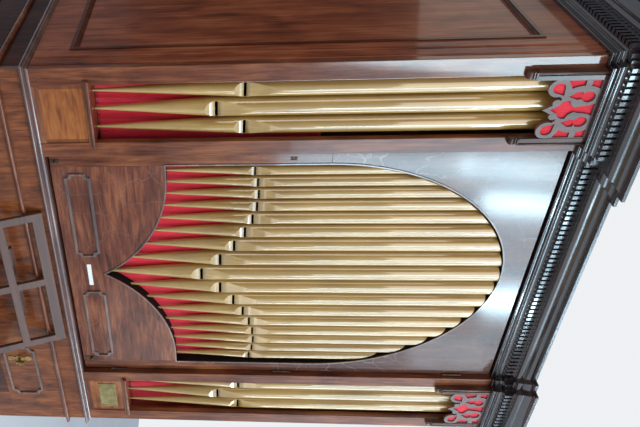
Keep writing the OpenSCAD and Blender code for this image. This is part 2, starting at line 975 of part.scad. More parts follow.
module door_arch() {
    color("saddlebrown")
        in_door()
            difference() {
                translate([-door_half, spring_z])
                    square([2 * door_half, door_high - spring_z]);
                door_opening(0);
            }
}

// The stiles run down beside the opening to the foot of the door, and a batten at their backs
// stiffens the pipes
module door_stiles() {
    color("saddlebrown") {
        both_sides()
            board_between([arch_a, door_face, door_low], [door_half, door_rear, spring_z]);
        board_between([-arch_a - 20, door_rear, rack_z],
                      [arch_a + 20, door_rear + 18, rack_z + 2 * rack_t]);
    }
}

// The bottom rail is scooped out, with a toe hole for the foot of each pipe
module door_bottom_rail() {
    color("saddlebrown")
        difference() {
            in_door()
                difference() {
                    translate([-arch_a, door_low])
                        square([2 * arch_a, shoulder_z - door_low]);
                    door_opening(0);
                }
            for (s = [-1, 1])
                for (i = [(s < 0 ? 1 : 0):pipe_pairs])
                    translate([s * pipe_x(i), pipe_y, foot_z(i)])
                        cylinder(h = 40, r = toe_hole_r);
        }
}

// Two bead frames with scooped corners, and the thin bead round the opening
module door_beads() {
    frame_in = 90;
    frame_out = arch_a - 27;
    color("saddlebrown") {
        both_sides()
            translate([(frame_in + frame_out) / 2, door_face, cusp_z - 56])
                rotate([90, 0, 0])
                    bead_frame(frame_out - frame_in, 92, 18, 10, 6);
        translate([0, door_face, 0])
            rotate([90, 0, 0])
                linear_extrude(edge_proud)
                    difference() {
                        door_opening(edge_bead);
                        door_opening(0);
                    }
    }
}

// The middle knuckles of the hinges, the escutcheon, and a small bolt at each lower corner
module door_fittings() {
    color("gold") {
        for (z = hinge_zs)
            knuckle(z - 12, z + 12);
        translate([-arch_a - 25, door_face, door_low + 827])
            rotate([90, 0, 0])
                linear_extrude(2)
                    difference() {
                        square([12, 22], center = true);
                        circle(3);
                    }
        translate([-arch_a - 24, door_face, door_low + 18])
            rotate([90, 0, 0])
                bolt(13, 32);
        translate([arch_a - 13, door_face, door_low + 34])
            rotate([90, 0, 0])
                bolt(20, 58);
    }
}

// A plate with rounded ends and a turned knob in its middle
module bolt(w, h) {
    linear_extrude(2)
        intersection() {
            square([w, h], center = true);
            circle(h / 2);
        }
    rotate_extrude()
        polygon([[0, 0], [w * 0.2, 0], [w * 0.2, 6], [w * 0.34, 8],
                 [w * 0.34, 10], [w * 0.2, 12], [0, 12]]);
}

// Three butt hinges on the right edge of the door: the middle of each knuckle turns with the
// door, and its two ends stay on the leaf at the tower
module knuckle(z0, z1) {
    translate([hinge_x, hinge_y, z0])
        cylinder(h = z1 - z0, r = knuckle_r);
}

module hinge_leaves() {
    color("gold")
        for (z = hinge_zs)
            for (end = [[z - 36, z - 12 - seat_gap], [z + 12 + seat_gap, z + 36]]) {
                knuckle(end[0], end[1]);
                board_between([hinge_x, hinge_y - leaf_t / 2, end[0]],
                              [tower_in, hinge_y + leaf_t / 2, end[1]]);
            }
}

// A blank plate with a raised rim on the panel of the right tower
module brass_plate() {
    plate_w = 158;
    plate_h = 75;
    rim = 8;
    mid_z = (waist_z + tower_rail + shelf_z - shelf_t) / 2;
    color("gold")
        translate([open_mid, 4, mid_z])
            rotate([90, 0, 0]) {
                linear_extrude(1.5)
                    square([plate_w, plate_h], center = true);
                linear_extrude(2.5)
                    difference() {
                        square([plate_w, plate_h], center = true);
                        square([plate_w - 2 * rim, plate_h - 2 * rim], center = true);
                    }
            }
}

// A cast bracket: a waisted back plate with a boss, and a short turned arm with a socket
module candle_brackets() {
    plate_t = 3;
    arm = 26;
    x = half_w - post_w - 237;
    z = lower_rail_z + 90;
    color("gold")
        both_sides()
            translate([x, 0, z]) {
                rotate([90, 0, 0]) {
                    linear_extrude(plate_t)
                        union() {
                            for (dz = [-38, 38])
                                translate([0, dz])
                                    circle(14);
                            circle(18);
                            square([13, 84], center = true);
                        }
                    cylinder(h = arm, r = 4);
                    translate([0, 0, 8])
                        cylinder(h = 4, r = 7);
                }
                translate([0, -arm, -9])
                    rotate_extrude()
                        polygon([[0, 0], [8, 0], [8, 2], [6, 4], [6, 14], [13, 17], [13, 19],
                                 [9, 19], [9, 36], [0, 36]]);
            }
}

translate([0, -mid_y, 0]) {
    plinth();
    corner_posts();
    lower_side_frames();
    lower_side_panels();
    lower_back();
    lower_front_rail();
    lower_front_doors();
    knee_panel();
    lower_beads();
    frieze_bead();
    waist_moulding();
    floor_board();
    key_bed();
    key_cheeks();
    natural_keys();
    sharp_keys();
    nameboard();
    stop_knobs();
    desk_shelf();
    music_desk();
    upper_side_stiles();
    upper_side_rails();
    upper_side_panels();
    upper_back();
    top_board();
    tower_stiles();
    tower_rails();
    tower_panels();
    tower_shelves();
    toe_boards();
    pipe_rack();
    tower_pipes();
    centre_pipes();
    tower_cloths();
    centre_cloth();
    frets();
    fret_brackets();
    bed_moulding();
    dentil_band();
    crown_moulding();
    door_arch();
    door_stiles();
    door_bottom_rail();
    door_beads();
    door_fittings();
    hinge_leaves();
    brass_plate();
    candle_brackets();
}
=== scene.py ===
# %% [markdown]
# A chamber organ, dressed.
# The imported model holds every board, moulding and hinge of the organ at its real size. This
# lesson gives the wood its polish and grain, and makes the pieces whose charm is in their
# surface: the gilded pipes with their pressed mouths, the red cloth behind them, and a blank
# label on the door. Everything is in metres, and the keyboard stands out towards -Y.

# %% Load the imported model
import math
import bpy
import numpy as np
from mathutils import Matrix, Vector


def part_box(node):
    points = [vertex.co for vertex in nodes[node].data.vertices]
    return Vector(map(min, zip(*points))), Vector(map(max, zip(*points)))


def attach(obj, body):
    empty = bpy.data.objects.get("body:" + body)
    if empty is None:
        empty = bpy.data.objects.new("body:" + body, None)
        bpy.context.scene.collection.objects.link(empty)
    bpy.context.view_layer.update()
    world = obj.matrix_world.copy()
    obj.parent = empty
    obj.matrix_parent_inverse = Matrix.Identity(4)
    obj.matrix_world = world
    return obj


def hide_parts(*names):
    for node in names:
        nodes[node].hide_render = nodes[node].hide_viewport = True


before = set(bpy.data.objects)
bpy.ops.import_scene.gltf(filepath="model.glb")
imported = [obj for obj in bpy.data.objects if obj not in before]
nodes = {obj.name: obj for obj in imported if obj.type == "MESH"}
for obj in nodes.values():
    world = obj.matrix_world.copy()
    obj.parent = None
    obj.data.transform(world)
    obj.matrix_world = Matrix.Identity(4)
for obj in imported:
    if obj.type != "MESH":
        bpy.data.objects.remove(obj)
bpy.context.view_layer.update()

# %% [markdown]
# Where things are.
# Blender needs a few lines of the case to hang its own pieces on: the two faces of the door,
# the arch of its opening, the panels of the towers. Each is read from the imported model, so that
# a change there moves the pieces here with it.

# %% Lines of the case
rail_low, rail_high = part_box("door_bottom_rail")
door_front, door_rear = rail_low.y, rail_high.y
opening_half = rail_high.x
spring_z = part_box("door_arch")[0].z
arch_bead = 0.005
arch_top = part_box("door_beads")[1].z - arch_bead
plate_low, plate_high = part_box("brass_plate")
tower_middle = (plate_low.x + plate_high.x) / 2
tower_panel_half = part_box("tower_panels")[1].x - tower_middle
print("door face at", round(door_front, 3), "half its opening", round(opening_half, 3), "arch from",
      round(spring_z, 3), "to", round(arch_top, 3))

# %% [markdown]
# Writing a material as arithmetic.
# A finish is a network of nodes, but it reads best as sums and products. Value wraps one
# socket, and Python's own operators add the Math nodes. Every other node comes from
# Finish.node, which takes the node's type, its settings and the values of its sockets.

# %% A small language for finishes
class Value:
    """One socket of a finish. Arithmetic on it adds Math nodes to the same finish."""

    def __init__(self, finish, socket):
        self.finish, self.socket = finish, socket

    def math(self, operation, *others, swap=False):
        """The Math node of this operation, on this value and the others."""
        values = [self, *others]
        if swap:
            values.reverse()
        return self.finish.node("ShaderNodeMath", {"operation": operation}, dict(enumerate(values)))

    def __add__(self, other):
        return self.math("ADD", other)

    def __sub__(self, other):
        return self.math("SUBTRACT", other)

    def __mul__(self, other):
        return self.math("MULTIPLY", other)

    def __gt__(self, other):
        return self.math("GREATER_THAN", other)

    def __lt__(self, other):
        return self.math("LESS_THAN", other)

    def __abs__(self):
        return self.math("ABSOLUTE")

    def __rsub__(self, other):
        return self.math("SUBTRACT", other, swap=True)

    __radd__ = __add__
    __rmul__ = __mul__


class Finish:
    """A material under construction."""

    def __init__(self, name):
        self.material = bpy.data.materials.new(name)
        self.material.use_nodes = True
        self.tree = self.material.node_tree
        self.tree.nodes.clear()
        self.here = self.node("ShaderNodeTexCoord", out="Object")

    def node(self, kind, settings=None, sockets=None, out=0):
        """Adds one node: its settings first, then its sockets' values or links. Gives one output."""
        made = self.tree.nodes.new(kind)
        for key, setting in (settings or {}).items():
            if key == "stops":
                ramp = made.color_ramp
                while len(ramp.elements) < len(setting):
                    ramp.elements.new(0.5)
                for element, (place, colour) in zip(ramp.elements, setting):
                    element.position, element.color = place, (*colour, 1.0)
            else:
                setattr(made, key, setting)
        for key, value in (sockets or {}).items():
            if isinstance(value, Value):
                self.tree.links.new(value.socket, made.inputs[key])
            else:
                made.inputs[key].default_value = value
        return Value(self, made.outputs[out])

    def axes(self):
        """The three object coordinates as values of their own."""
        parts = self.node("ShaderNodeSeparateXYZ", None, {"Vector": self.here}).socket.node
        return [Value(self, parts.outputs[k]) for k in range(3)]

    def squeezed(self, along, factor):
        """Object coordinates shortened along one axis, which draws any noise out into fibres."""
        scale = [1.0, 1.0, 1.0]
        scale["XYZ".index(along)] = factor
        return self.node("ShaderNodeMapping", None, {"Vector": self.here, "Scale": scale})

    def noise(self, where, scale, detail=2.0, rough=0.5, twist=0.0):
        """Cloudy noise between 0 and 1, so many clouds to the metre."""
        return self.node("ShaderNodeTexNoise", None,
                         {"Vector": where, "Scale": scale, "Detail": detail, "Roughness": rough,
                          "Distortion": twist})

    def ramp(self, value, *stops):
        """Colours strung along a value."""
        return self.node("ShaderNodeValToRGB", {"stops": stops}, {"Fac": value})

    def mix(self, share, first, second):
        """One colour over another, by a share."""
        return self.node("ShaderNodeMix", {"data_type": "RGBA"}, {0: share, 6: first, 7: second}, out=2)

    def between(self, value, low, high):
        """Where a value lies between two limits, from 0 to 1, with soft ends."""
        return self.node("ShaderNodeMapRange", {"interpolation_type": "SMOOTHSTEP"},
                         {"Value": value, "From Min": low, "From Max": high})

    def bump(self, height, depth, strength=1.0, under=None):
        """A surface raised by a height between 0 and 1, in metres of depth."""
        sockets = {"Height": height, "Distance": depth, "Strength": strength}
        if under is not None:
            sockets["Normal"] = under
        return self.node("ShaderNodeBump", None, sockets)

    def shade(self, **sockets):
        """Closes the finish with a Principled shader, and gives its material."""
        names = {key.replace("_", " ").title().replace("Ior", "IOR"): value
                 for key, value in sockets.items()}
        surface = self.node("ShaderNodeBsdfPrincipled", None, names)
        ending = self.tree.nodes.new("ShaderNodeOutputMaterial")
        self.tree.links.new(surface.socket, ending.inputs["Surface"])
        return self.material


def colour(r, g, b):
    """An everyday 0 to 255 screen colour as the linear colour that a shader wants."""
    return tuple(((v / 255 + 0.055) / 1.055) ** 2.4 if v > 10 else v / 255 / 12.92 for v in (r, g, b))


print("screen grey 128 is", round(colour(128, 128, 128)[0], 3), "in linear light")

# %% [markdown]
# What age does to polish, and painted shade.
# Old shellac cracks into a fine pale web, which is the borders between Voronoi cells whose place
# is warped by noise. The thickness of the wood round the door's opening is made near black, a
# painted shade of that recess, and the border round a side panel is darkened with painted shade.
# Each is a mask, 1 where it shows and 0 elsewhere, so that the wood's recipe can mix it in.

# %% Masks for cracks and painted shade
crack_width = 0.018
face_skin = 0.0012
rear_skin = 0.0005
opening_slack = 0.002


def crazing(f):
    """Fine cracks in old polish, 1 in a crack and 0 between: the borders of warped Voronoi cells."""
    warp = f.node("ShaderNodeTexNoise", None, {"Vector": f.here, "Scale": 6.0, "Detail": 3.0}, out="Color")
    where = f.node("ShaderNodeMix", {"data_type": "VECTOR"}, {0: 0.2, 4: f.here, 5: warp}, out=1)
    border = f.node("ShaderNodeTexVoronoi", {"feature": "DISTANCE_TO_EDGE"},
                    {"Vector": where, "Scale": 8.0})
    patches = f.between(f.noise(f.here, 2.6, 2.0), 0.4, 0.6)
    return (1 - f.between(border, 0.0, crack_width)) * patches


# Painted shade: near black on the thickness round the door's opening, for the shade in that recess.
def painted_opening_shade(f):
    """1 between the two faces of the door and no further out than its opening, 0 elsewhere."""
    x, y, z = f.axes()
    deeper = (y > door_front + face_skin) * (y < door_rear - rear_skin)
    return deeper * (abs(x) < opening_half + opening_slack) * (z < arch_top + opening_slack)


def inside_border(f, low, high, width):
    """1 on a panel's field, 0 within so many metres of the edge of its box, seen from the side."""
    x, y, z = f.axes()
    field = 1
    for value, least, most in ((y, low.y, high.y), (z, low.z, high.z)):
        field = (abs(value - (least + most) / 2) < (most - least) / 2 - width) * field
    return field


# The span of the opening's painted shade, from the door's face to its back.
print("black paint lies from", round(door_front + face_skin, 4), "to", round(door_rear - rear_skin, 4))

# %% [markdown]
# French-polished mahogany.
# The case is Cuban mahogany under many coats of shellac: a red-brown wood with a mottled figure
# of short dark flames along the grain, broad clouds of darker red, and fine pores. Noise drawn
# out along the grain gives each of them at its own scale. The polish is a clear coat over the
# wood, worn thinner where hands and cloths have rubbed it.

# %% Mahogany
border_w = 0.024
band_w = 0.013


def mahogany(name, grain, tones, figure=0.16, mottle=0.5, coat=0.45, coat_rough=0.07, rough=0.36,
             gloss=0.16, craze=0.0, ripple=0.0, edge=False, banded=False, rubbed=None, painted_sheen_heights=None,
             shaded_border_box=None):
    """Flames, clouds and pores along one axis, between three tones, under a clear coat. A smaller
    figure draws the flames out longer, and mottle makes the clouds stronger. Craze is how plain
    the cracks are, and ripple how deep the surface waves, in metres. Rubbed gives two heights:
    below the first the polish is worn to a fifth, above the second it is whole. Given two heights
    for the painted sheen, the wood between them turns to a colder grey-brown, standing in for the
    glare on the polish. Given a panel's box for the shaded border, the border of that panel is
    darkened with painted shade. Edge makes the thickness round the door's opening near black, a
    painted shade of that recess, and banded darkens the two upright edges of a tower's panel."""
    dark, middle, light = tones
    f = Finish(name)
    x, y, z = f.axes()
    flame = f.noise(f.squeezed(grain, figure), 52.0, 4.0, 0.62, 0.7)
    cloud = f.noise(f.squeezed(grain, 0.4), 7.5, 3.0, 0.55, 1.0)
    fine = f.noise(f.squeezed(grain, 0.03), 260.0, 3.0, 0.6)
    pore = f.between(f.noise(f.squeezed(grain, 0.02), 620.0, 1.0), 0.62, 0.72)
    tone = flame * 0.62 + fine * 0.22 + cloud * mottle - (mottle * 0.5 - 0.08)
    wood = f.ramp(tone, (0.3, dark), (0.5, middle), (0.72, light))
    wood = f.mix(pore * 0.35, wood, (*[c * 0.35 for c in dark], 1.0))
    worn = f.noise(f.here, 7.0, 4.0, 0.6)
    shine = rough - 0.08 + worn * 0.16
    polish = coat * 0.8 + worn * (0.4 * coat)
    relief = f.bump(flame + fine * 0.5 - pore, 0.0003, 0.3)
    # Painted sheen: a colder grey-brown between two heights stands in for the glare on the polish.
    if painted_sheen_heights:
        painted_sheen = f.between(z, *painted_sheen_heights)
        wood = f.mix(painted_sheen * 0.6, wood, (*colour(58, 44, 45), 1.0))
    if ripple > 0:
        relief = f.bump(f.noise(f.squeezed("Z", 0.35), 16.0, 3.0, 0.6, 0.8), ripple, 1.0, relief)
    if craze > 0:
        crack = crazing(f) * (painted_sheen if painted_sheen_heights else 1)
        wood = f.mix(crack * craze, wood, (*colour(128, 112, 100), 1.0))
        relief = f.bump(1 - crack, 0.0005, craze, relief)
    if rubbed:
        polish = polish * (0.2 + 0.8 * f.between(z, *rubbed))
    # Painted shade: the border round a side panel is darkened, where the moulding's shade falls.
    if shaded_border_box:
        border = 1 - inside_border(f, *shaded_border_box, border_w)
        wood = f.mix(border * 0.72, wood, (*[c * 0.3 for c in dark], 1.0))
    if banded:
        strip = abs(abs(x) - abs(tower_middle)) > tower_panel_half - band_w
        wood = f.mix(strip * 0.6, wood, (*dark, 1.0))
    # Painted shade: the thickness round the door's opening is made near black and unpolished.
    if edge:
        paint = painted_opening_shade(f)
        wood = f.mix(paint, wood, (*colour(14, 11, 10), 1.0))
        polish = polish * (1 - paint)
        shine = shine + paint * 0.4
    return f.shade(base_color=wood, roughness=shine, coat_weight=polish, coat_roughness=coat_rough,
                   specular_ior_level=gloss, normal=relief)


case_tones = colour(50, 22, 14), colour(104, 56, 36), colour(150, 92, 58)
# The lower front's tones are darker copies of the case's: painted shade for the light that falls off
# towards the floor.
low_tones = colour(30, 12, 8), colour(66, 31, 19), colour(100, 54, 33)
frieze_tones = colour(58, 25, 13), colour(112, 59, 31), colour(158, 92, 48)
door_tones = colour(46, 20, 15), colour(100, 52, 35), colour(148, 88, 58)
bead_tones = colour(40, 24, 20), colour(92, 64, 54), colour(142, 110, 92)
waist_tones = colour(36, 18, 15), colour(80, 43, 34), colour(122, 76, 60)
panel_tones = colour(78, 37, 14), colour(136, 74, 31), colour(168, 104, 52)
# The sides' tones are lighter copies of the case's: painted light where the lamps reach the sides less.
side_tones = colour(74, 34, 22), colour(132, 69, 45), colour(172, 102, 68)
# The lower sides' tones are darker still: painted shade under the light from above.
low_side_tones = colour(24, 9, 6), colour(54, 23, 15), colour(84, 41, 26)
bracket_tones = colour(36, 20, 15), colour(74, 46, 36), colour(110, 78, 64)
cornice_tones = colour(15, 9, 12), colour(30, 18, 22), colour(50, 33, 37)
side_look = {"figure": 0.05, "mottle": 0.6, "coat": 0.4, "gloss": 0.08, "rubbed": (1.7, 2.7)}

stile_wood = mahogany("stile_mahogany", "Z", case_tones, figure=0.07, coat=0.9, rubbed=(1.7, 2.3))
door_frame_wood = mahogany("door_frame_mahogany", "Z", case_tones, figure=0.07, coat=1.0, coat_rough=0.11,
                           rough=0.28, gloss=0.15, craze=1.0, ripple=0.004, edge=True,
                           rubbed=(1.75, 2.2), painted_sheen_heights=(1.85, 2.35))
rail_wood = mahogany("rail_mahogany", "X", case_tones, figure=0.1)
low_wood = mahogany("lower_mahogany", "Z", low_tones, figure=0.1, coat=0.3)
frieze_wood = mahogany("frieze_mahogany", "Z", frieze_tones, figure=0.2, coat=0.3)
door_wood = mahogany("door_mahogany", "X", door_tones, figure=0.12, craze=0.25, edge=True)
bead_wood = mahogany("bead_mahogany", "X", bead_tones, coat=1.0, coat_rough=0.05, gloss=0.7)
waist_wood = mahogany("waist_mahogany", "X", waist_tones, figure=0.1, coat=1.0, coat_rough=0.06,
                      gloss=0.5)
panel_wood = mahogany("panel_mahogany", "X", panel_tones, figure=0.22, mottle=0.6, banded=True)
side_wood = mahogany("side_mahogany", "Z", side_tones, **side_look)
side_panel_wood = mahogany("side_panel_mahogany", "Z", side_tones, shaded_border_box=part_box("upper_side_panels"),
                           **side_look)
low_side_wood = mahogany("lower_side_mahogany", "Z", low_side_tones, figure=0.06, coat=0.05, gloss=0.05)
depth_wood = mahogany("depth_mahogany", "Y", side_tones)
bracket_wood = mahogany("bracket_mahogany", "Z", bracket_tones)
dark_wood = mahogany("cornice_mahogany", "X", cornice_tones, coat=1.0, coat_rough=0.05, rough=0.24,
                     gloss=0.85)
print(len(bpy.data.materials), "materials, with those of the packed model")

# %% [markdown]
# The plainer woods.
# The back, the floor and the top are stained deal, and the frets and the music desk are quiet
# woods with little polish. Two colours and a straight grain are enough for them.

# %% Deal, and the fretwork's and music desk's woods
def plain_wood(name, grain, dark, light, rough, coat=0.0):
    """A quieter wood: two colours, straight grain, hardly any polish."""
    f = Finish(name)
    stripe = f.noise(f.squeezed(grain, 0.04), 34.0, 4.0, 0.6, 0.5)
    fine = f.noise(f.squeezed(grain, 0.03), 260.0, 2.0, 0.6)
    patch = f.noise(f.here, 4.0, 3.0)
    wood = f.ramp(stripe * 0.6 + fine * 0.25 + patch * 0.25 - 0.05, (0.3, dark), (0.72, light))
    return f.shade(base_color=wood, roughness=rough + stripe * 0.15, coat_weight=coat, coat_roughness=0.2,
                   normal=f.bump(stripe + fine, 0.0003, 0.4))


deal_tones = colour(88, 56, 36), colour(142, 100, 66)
deal = plain_wood("stained_deal", "Z", *deal_tones, rough=0.62)
deal_across = plain_wood("stained_deal_across", "X", *deal_tones, rough=0.62)
fret_wood = plain_wood("fretwork_wood", "Z", colour(66, 48, 46), colour(116, 92, 88), rough=0.42, coat=0.2)
desk_wood = plain_wood("desk_wood", "X", colour(50, 30, 24), colour(102, 66, 53), rough=0.48, coat=0.15)
print("plain woods:", ", ".join(f.name for f in (deal, deal_across, fret_wood, desk_wood)))

# %% [markdown]
# Gold paint, brass, cloth and keys.
# The front pipes are painted with bronze powder, not burnished leaf. The paint lies a little
# unevenly, with faint streaks down the pipe, and is browner in patches. It is only slightly
# metallic, and lies under a smooth clear coat of high refraction, which draws the narrow pale
# line down each pipe. The brass has browned where its lacquer has gone. The cloth is a plain
# weave, and the keys are bone and ebony with their grain along the key.

# %% Gilding, brass, cloth, bone and ebony
def gilding():
    """Bronze paint: streaks down the pipe, duller and browner in patches."""
    f = Finish("pipe_gilding")
    streak = f.noise(f.squeezed("Z", 0.02), 120.0, 3.0, 0.6)
    patch = f.noise(f.squeezed("Z", 0.4), 6.0, 4.0, 0.6, 0.6)
    grit = f.noise(f.here, 900.0, 2.0)
    gold = f.ramp(streak * 0.45 + patch * 0.6, (0.3, colour(128, 96, 42)), (0.52, colour(162, 126, 60)),
                  (0.75, colour(186, 150, 80)))
    return f.shade(base_color=gold, metallic=0.15, roughness=0.45 + patch * 0.14, coat_weight=1.0,
                   coat_ior=1.9, coat_roughness=0.05, normal=f.bump(grit + streak * 2, 0.0002, 0.25))


# Painted shade: the inside of a pipe is near black, for the shade seen through its mouth.
def painted_pipe_shade():
    """Painted shade for the inside of a pipe, near black where it is seen through its mouth."""
    f = Finish("pipe_inside_shade")
    shade_mottle = f.noise(f.here, 60.0, 3.0)
    shadow = f.ramp(shade_mottle, (0.3, colour(14, 10, 8)), (0.8, colour(30, 23, 17)))
    return f.shade(base_color=shadow, roughness=0.9, normal=f.bump(shade_mottle, 0.0002, 0.3))


def brass(name, dark, middle, light, spots, metallic):
    """Old lacquered brass in three colours, with so many patches to the metre."""
    f = Finish(name)
    patch = f.noise(f.here, spots, 4.0, 0.6)
    metal = f.ramp(patch, (0.3, dark), (0.55, middle), (0.8, light))
    return f.shade(base_color=metal, metallic=metallic, roughness=0.32 + patch * 0.2,
                   normal=f.bump(patch, 0.0002, 0.25))


def red_cloth():
    """A plain weave of crimson wool: the product of two crossed sines for the threads, uneven
    dye, and a soft sheen."""
    f = Finish("crimson_cloth")
    threads = 900.0
    across, _, up = f.axes()
    weave = (across * threads).math("SINE") * (up * threads).math("SINE")
    slub = f.noise(f.squeezed("Z", 0.15), 130.0, 3.0)
    fade = f.noise(f.here, 3.0, 3.0)
    dye = f.ramp(slub * 0.5 + fade * 0.5, (0.3, colour(188, 14, 34)), (0.7, colour(230, 34, 58)))
    return f.shade(base_color=dye, roughness=0.85, sheen_weight=0.3, sheen_roughness=0.5,
                   normal=f.bump(weave * 0.5 + slub, 0.0004, 0.5))


def polished(name, low, high, rough, scale, coat=0.3):
    """A close, polished stuff such as bone or ebony: two near colours in fine grain."""
    f = Finish(name)
    grain = f.noise(f.squeezed("Y", 0.06), scale, 4.0, 0.6)
    return f.shade(base_color=f.ramp(grain, (0.3, low), (0.75, high)), roughness=rough + grain * 0.1,
                   coat_weight=coat, normal=f.bump(grain, 0.0001, 0.3))


gold = gilding()
pipe_inside_shade = painted_pipe_shade()
old_brass = brass("old_brass", colour(112, 86, 48), colour(166, 134, 80), colour(196, 170, 112), 60.0, 0.75)
plate_brass = brass("plate_brass", colour(104, 92, 56), colour(134, 120, 74), colour(160, 146, 98),
                    26.0, 0.5)
dull_brass = brass("dull_brass", colour(40, 28, 20), colour(72, 52, 34), colour(112, 88, 56), 80.0, 0.6)
crimson = red_cloth()
bone = polished("key_bone", colour(196, 182, 148), colour(228, 218, 190), 0.25, 300.0)
ebony = polished("ebony", colour(18, 14, 13), colour(40, 32, 29), 0.22, 240.0)
label_card = polished("blank_label", colour(206, 206, 200), colour(232, 232, 228), 0.5, 80.0, 0.1)
print("gold, brass, cloth and keys:", ", ".join(f.name for f in (gold, old_brass, crimson, bone, ebony)))

# %% [markdown]
# Which board has which grain.
# A joiner runs the grain along a board's length: up the stiles, across the rails. So each node
# gets the mahogany whose grain lies its way.

# %% Give every node its finish
finishes = {
    stile_wood: ["corner_posts", "tower_stiles"],
    low_wood: ["lower_front_doors", "knee_panel", "plinth"],
    door_frame_wood: ["door_stiles", "door_arch"],
    waist_wood: ["waist_moulding"],
    rail_wood: ["tower_rails", "tower_shelves", "toe_boards", "desk_shelf", "key_bed",
                "nameboard", "frieze_bead"],
    bead_wood: ["door_beads", "lower_beads"],
    frieze_wood: ["lower_front_rail"],
    door_wood: ["door_bottom_rail"],
    panel_wood: ["tower_panels"],
    side_wood: ["upper_side_stiles", "upper_side_rails"],
    side_panel_wood: ["upper_side_panels"],
    low_side_wood: ["lower_side_frames", "lower_side_panels"],
    bracket_wood: ["fret_brackets"],
    depth_wood: ["key_cheeks"],
    dark_wood: ["bed_moulding", "dentil_band", "crown_moulding"],
    deal: ["lower_back", "upper_back"],
    deal_across: ["floor_board", "top_board", "pipe_rack"],
    fret_wood: ["frets"],
    desk_wood: ["music_desk"],
    old_brass: ["candle_brackets"],
    plate_brass: ["brass_plate"],
    dull_brass: ["door_fittings", "hinge_leaves"],
    bone: ["natural_keys"],
    ebony: ["sharp_keys", "stop_knobs"],
    gold: ["centre_pipes", "tower_pipes"],
    crimson: ["centre_cloth", "tower_cloths"],
}
for finish, names in finishes.items():
    for name in names:
        nodes[name].data.materials.clear()
        nodes[name].data.materials.append(finish)
unfinished = sorted(set(nodes) - {name for names in finishes.values() for name in names})
print("nodes without a finish:", unfinished)

# %% [markdown]
# Softened edges.
# No joiner leaves a knife edge: a pass with sandpaper rounds each arris to a millimetre or so,
# and that round is what catches the light. The nodes are loose triangles, so a Weld modifier
# joins them first, and a Bevel rounds every edge that turns more than forty degrees.

# %% Round the arrises of the flat boards
def soften(name, radius):
    """Welds a node's triangles and rounds its sharp edges by a radius, in metres."""
    piece = nodes[name]
    weld = piece.modifiers.new("weld", "WELD")
    weld.merge_threshold = 1e-5
    round_off = piece.modifiers.new("arris", "BEVEL")
    round_off.limit_method = "ANGLE"
    round_off.angle_limit = math.radians(40)
    round_off.width = radius
    round_off.segments = 2
    round_off.use_clamp_overlap = True


arris = 0.0018
key_arris = 0.001
boards = ["corner_posts", "tower_stiles", "door_stiles", "lower_front_doors", "knee_panel",
          "tower_rails", "tower_shelves", "desk_shelf", "key_bed", "nameboard", "music_desk",
          "key_cheeks", "brass_plate", "fret_brackets"]
for name in boards:
    soften(name, arris)
for name in ("natural_keys", "sharp_keys"):
    soften(name, key_arris)
print("arrises rounded on", len(boards), "nodes of boards, and on the keys")

# %% [markdown]
# Surfaces from arrays.
# Each new piece is a grid of points worked out all at once. grid_mesh joins a grid of rows and
# columns with square faces, and can close it round, which makes a tube.

# %% A grid of points becomes a mesh
def grid_faces(rows, columns, closed, keep=None):
    """Corner numbers of the squares between neighbouring rows and columns, wrapped round if closed."""
    across = columns if closed else columns - 1
    r, c = np.meshgrid(np.arange(rows - 1), np.arange(across), indexing="ij")
    right = (c + 1) % columns
    faces = np.stack([r * columns + c, r * columns + right, (r + 1) * columns + right,
                      (r + 1) * columns + c], axis=-1)
    return faces[keep] if keep is not None else faces.reshape(-1, 4)


def make_piece(name, points, faces, finish, body, slot, smooth=True):
    """A mesh piece from arrays of points and four-cornered faces, dressed and riding on its body."""
    mesh = bpy.data.meshes.new(name)
    mesh.vertices.add(len(points))
    mesh.vertices.foreach_set("co", np.asarray(points, np.float32).ravel())
    mesh.loops.add(faces.size)
    mesh.loops.foreach_set("vertex_index", faces.ravel().astype(np.int32))
    mesh.polygons.add(len(faces))
    mesh.polygons.foreach_set("loop_start", np.arange(0, faces.size, faces.shape[1], dtype=np.int32))
    mesh.polygons.foreach_set("use_smooth", np.full(len(faces), smooth))
    mesh.materials.append(finish)
    mesh.update(calc_edges=True)
    piece = bpy.data.objects.new(name, mesh)
    bpy.context.scene.collection.objects.link(piece)
    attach(piece, body)
    return piece


# %% [markdown]
# The gilded pipes.
# A front pipe is a cone for its foot and a cylinder for its body, rolled from one thin sheet.
# At the mouth the sheet is pressed flat: a short half-round lip below the slot, and above it a
# tall pointed leaf. Both are the same idea. A level cut through the pipe is a circle, and the
# pressing replaces the front of that circle by a chord. How wide the chord is at each height
# draws the outline of the lip or the leaf. Each pipe's axis and heights come from its plain
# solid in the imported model.

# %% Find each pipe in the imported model
def separate_solids(node):
    """The points and the triangles of each solid of a node. Points at one place share a number,
    and the lowest number spreads over every face until nothing changes."""
    mesh = nodes[node].data
    points = np.zeros(len(mesh.vertices) * 3)
    mesh.vertices.foreach_get("co", points)
    corners = np.zeros(len(mesh.loops), int)
    mesh.loops.foreach_get("vertex_index", corners)
    places, first, spot = np.unique(np.round(points.reshape(-1, 3), 5), axis=0, return_index=True,
                                    return_inverse=True)
    faces = spot.ravel()[corners].reshape(-1, 3)
    label = np.arange(len(places))
    settled = False
    while not settled:
        lower = label.copy()
        np.minimum.at(lower, faces.ravel(), np.repeat(label[faces].min(axis=1), 3))
        lower = lower[lower]
        settled = bool((lower == label).all())
        label = lower
    solids = []
    for one in np.unique(label):
        mine = label == one
        renumber = np.cumsum(mine) - 1
        solids.append((points.reshape(-1, 3)[first][mine], renumber[faces[mine[faces[:, 0]]]]))
    return solids


